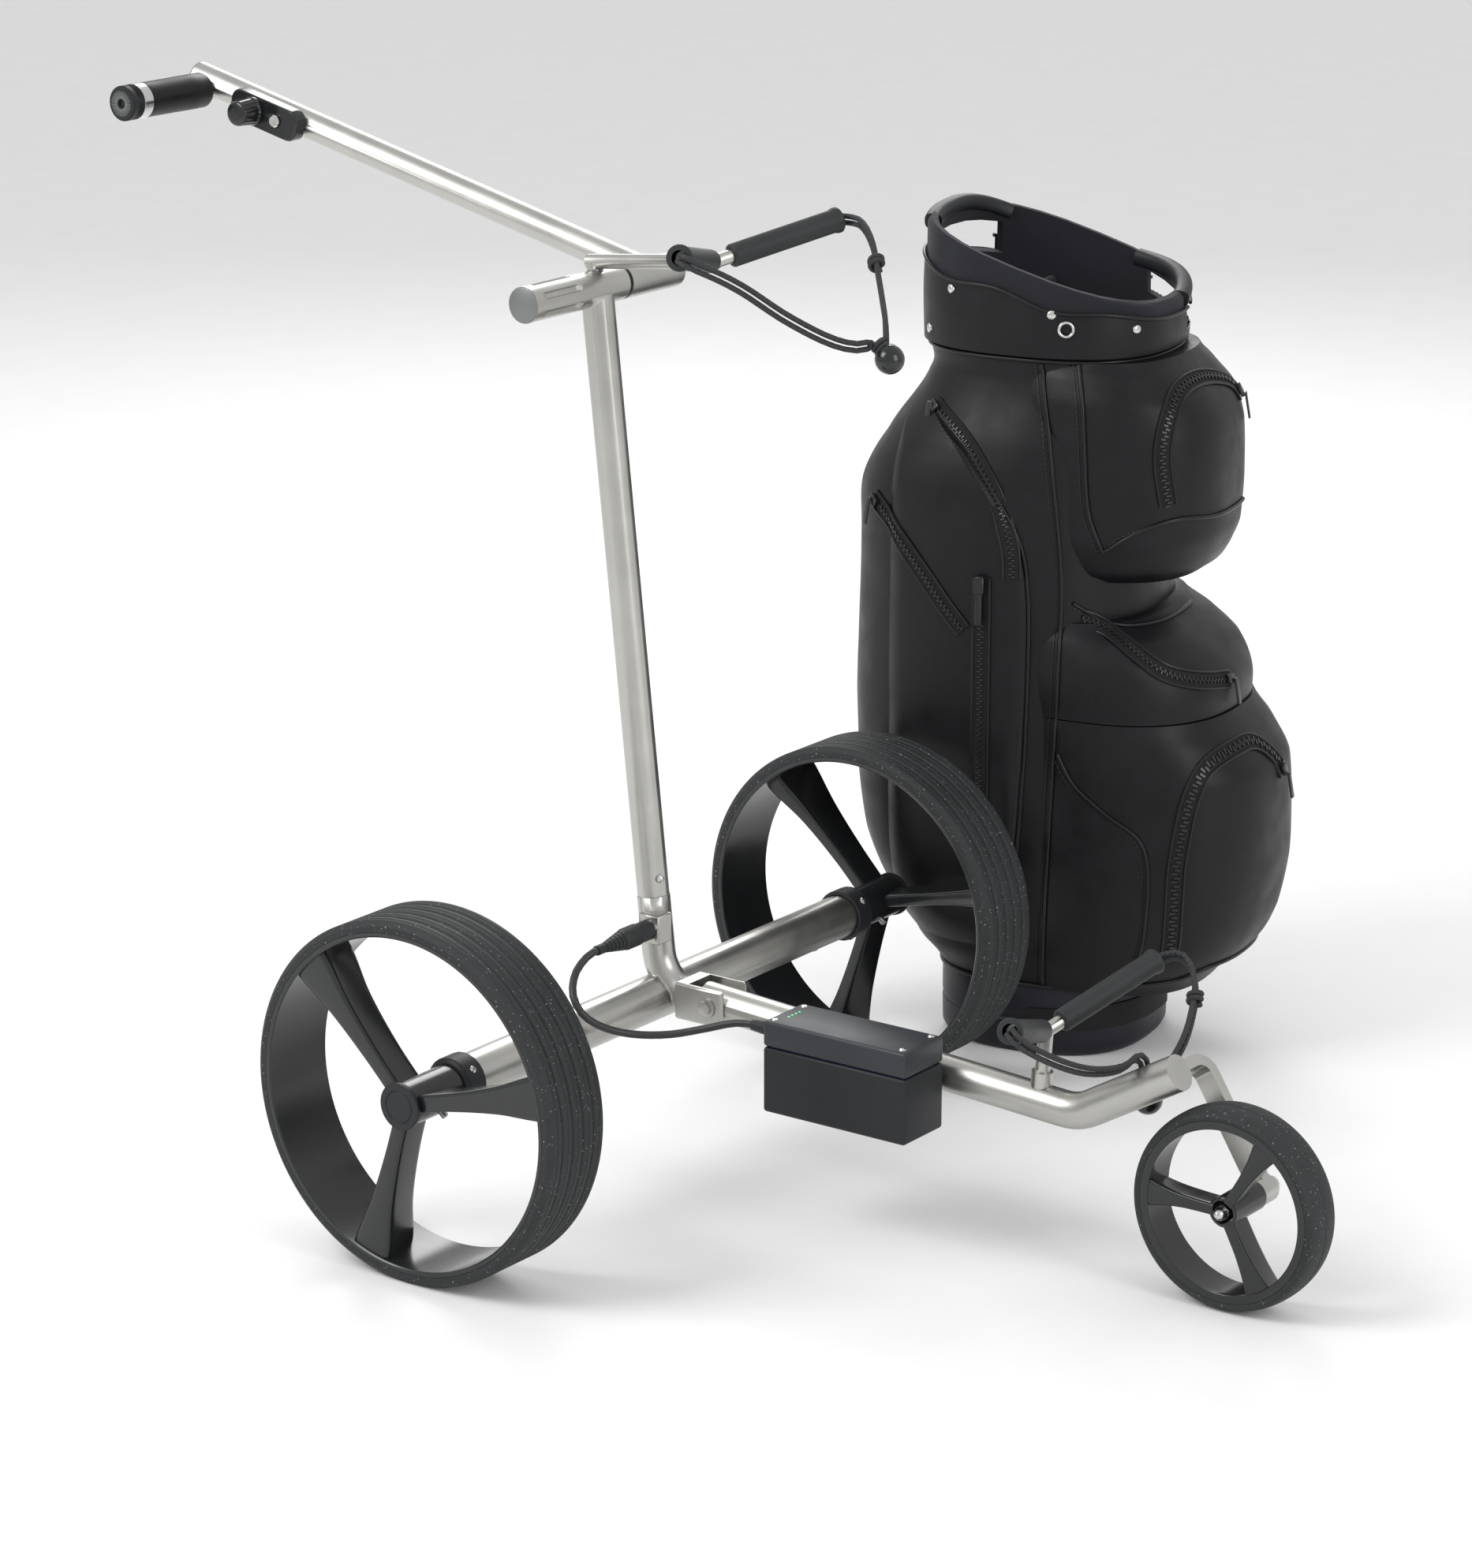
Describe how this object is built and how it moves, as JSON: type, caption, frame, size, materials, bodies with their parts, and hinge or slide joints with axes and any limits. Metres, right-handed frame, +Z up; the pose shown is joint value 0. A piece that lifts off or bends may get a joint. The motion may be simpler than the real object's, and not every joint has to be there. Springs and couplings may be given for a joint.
{
  "type": "electric golf trolley with cart bag",
  "caption": "Three-wheeled electric golf trolley of bent steel tube with a folding handle, strap cradles and a battery box, and a tall cart bag standing beside it.",
  "frame": {"origin": "on the floor, under the middle of the whole object's bounding box", "axes": "+Z up, +Y the way the trolley drives, towards its single front wheel, +X to the trolley's right, away from the bag"},
  "size_m": [0.9782, 1.1927, 0.8758],
  "materials": {
    "steel": "brushed stainless tube",
    "chrome": "polished fasteners",
    "gloss": "gloss black moulding",
    "plastic": "fine-textured black moulding",
    "tyre": "matte black tread rubber",
    "rubber": "soft black rubber and braided cord",
    "leather": "black grained leatherette",
    "navy": "dark moulded shell",
    "velour": "short velour pile",
    "wrap": "shrink-wrapped cell block"
  },
  "bodies": {
    "chassis": {"rear_chassis": "steel", "gear_motor_left": "steel", "gear_motor_right": "steel", "axle_collar_left": "plastic", "axle_collar_right": "plastic", "power_socket": "chrome", "power_plug": "rubber", "battery_lead": "rubber"},
    "shaft_left": {"drive_shaft_left": "steel"},
    "shaft_right": {"drive_shaft_right": "steel"},
    "wheel_left": {"rear_rim_left": "gloss", "rear_tyre_left": "tyre", "hub_cap_left": "plastic"},
    "wheel_right": {"rear_rim_right": "gloss", "rear_tyre_right": "tyre", "hub_cap_right": "plastic"},
    "release_left": {"release_pin_left": "steel"},
    "release_right": {"release_pin_right": "steel"},
    "front_frame": {"front_tube": "steel", "fold_bolt": "steel", "battery_bracket": "steel", "battery_case": "plastic", "battery_lid": "plastic", "battery_cells": "wrap", "lead_gland": "rubber", "lower_cradle": "steel", "lower_sleeve_left": "rubber", "lower_sleeve_right": "rubber", "lower_cord_left": "rubber", "lower_cord_right": "rubber", "lower_ball": "rubber", "front_fork": "steel", "front_axle": "chrome"},
    "front_wheel": {"front_rim": "gloss", "front_tyre": "tyre"},
    "mast": {"mast_tube": "steel", "upper_cradle": "steel", "upper_sleeve_left": "rubber", "upper_sleeve_right": "rubber", "upper_cord_left": "rubber", "upper_cord_right": "rubber", "upper_ball": "rubber"},
    "spring_button": {"mast_button": "chrome"},
    "clamp_knob": {"fold_knob": "steel"},
    "handle": {"handle_tube": "steel", "handle_end_plug": "chrome", "grip": "leather", "grip_end_cap": "plastic", "control_housing": "gloss"},
    "speed_dial": {"speed_knob": "gloss"},
    "power_switch": {"power_button": "chrome"},
    "bag": {"bag_base": "navy", "bag_body": "leather", "bag_collar": "velour", "bag_divider": "velour", "upper_pocket": "leather", "ball_pocket": "leather", "lower_pocket": "leather", "side_pocket": "leather"},
    "zip_slider": {"side_zip_slider": "chrome"}
  },
  "joints": [
    {"name": "drive_left_spin", "type": "hinge", "parent": "chassis", "child": "shaft_left", "pos_m": [-0.1575, -0.0367, 0.15], "axis": [1, 0, 0], "continuous": true},
    {"name": "drive_right_spin", "type": "hinge", "parent": "chassis", "child": "shaft_right", "pos_m": [0.4519, -0.0367, 0.15], "axis": [1, 0, 0], "continuous": true},
    {"name": "wheel_left_freewheel_shift", "type": "slide", "parent": "shaft_left", "child": "wheel_left", "axis": [-1, 0, 0], "range_m": [0, 0.008]},
    {"name": "wheel_right_freewheel_shift", "type": "slide", "parent": "shaft_right", "child": "wheel_right", "axis": [1, 0, 0], "range_m": [0, 0.008]},
    {"name": "release_left_push", "type": "slide", "parent": "wheel_left", "child": "release_left", "axis": [0, -0.7413, 0.6712], "range_m": [0, 0.003], "stiffness_N_per_m": 400, "springref_m": -0.002},
    {"name": "release_right_push", "type": "slide", "parent": "wheel_right", "child": "release_right", "axis": [0, -0.7413, 0.6712], "range_m": [0, 0.003], "stiffness_N_per_m": 400, "springref_m": -0.002},
    {"name": "front_frame_fold", "type": "hinge", "parent": "chassis", "child": "front_frame", "pos_m": [0.1472, 0.0238, 0.1545], "axis": [1, 0, 0], "range_deg": [0, 75], "deforming": ["battery_lead"]},
    {"name": "front_wheel_spin", "type": "hinge", "parent": "front_frame", "child": "front_wheel", "pos_m": [0.1366, 0.5136, 0.0828], "axis": [1, 0, 0], "continuous": true},
    {"name": "mast_lift", "type": "slide", "parent": "chassis", "child": "mast", "axis": [0, -0.1073, 0.9942], "range_m": [0, 0.1]},
    {"name": "spring_button_push", "type": "slide", "parent": "mast", "child": "spring_button", "axis": [-0.4007, -0.9109, -0.0984], "range_m": [0, 0.003], "stiffness_N_per_m": 400, "springref_m": -0.002},
    {"name": "clamp_knob_turn", "type": "hinge", "parent": "mast", "child": "clamp_knob", "pos_m": [0.1472, -0.099, 0.7418], "axis": [1, 0, 0], "range_deg": [0, 360]},
    {"name": "handle_fold", "type": "hinge", "parent": "mast", "child": "handle", "pos_m": [0.1472, -0.099, 0.7418], "axis": [1, 0, 0], "range_deg": [0, 103]},
    {"name": "speed_dial_turn", "type": "hinge", "parent": "handle", "child": "speed_dial", "pos_m": [0.0752, -0.50816, 0.84306], "axis": [1, 0, 0], "range_deg": [0, 270]},
    {"name": "power_switch_press", "type": "slide", "parent": "handle", "child": "power_switch", "axis": [-1, 0, 0], "range_m": [0, 0.0015], "stiffness_N_per_m": 400, "springref_m": -0.001},
    {"name": "bag_lift", "type": "slide", "parent": "chassis", "child": "bag", "axis": [0, 0, 1], "range_m": [0, 0.3]},
    {"name": "side_zip", "type": "slide", "parent": "bag", "child": "zip_slider", "axis": [0, 0, -1], "range_m": [0, 0.275]}
  ]
}
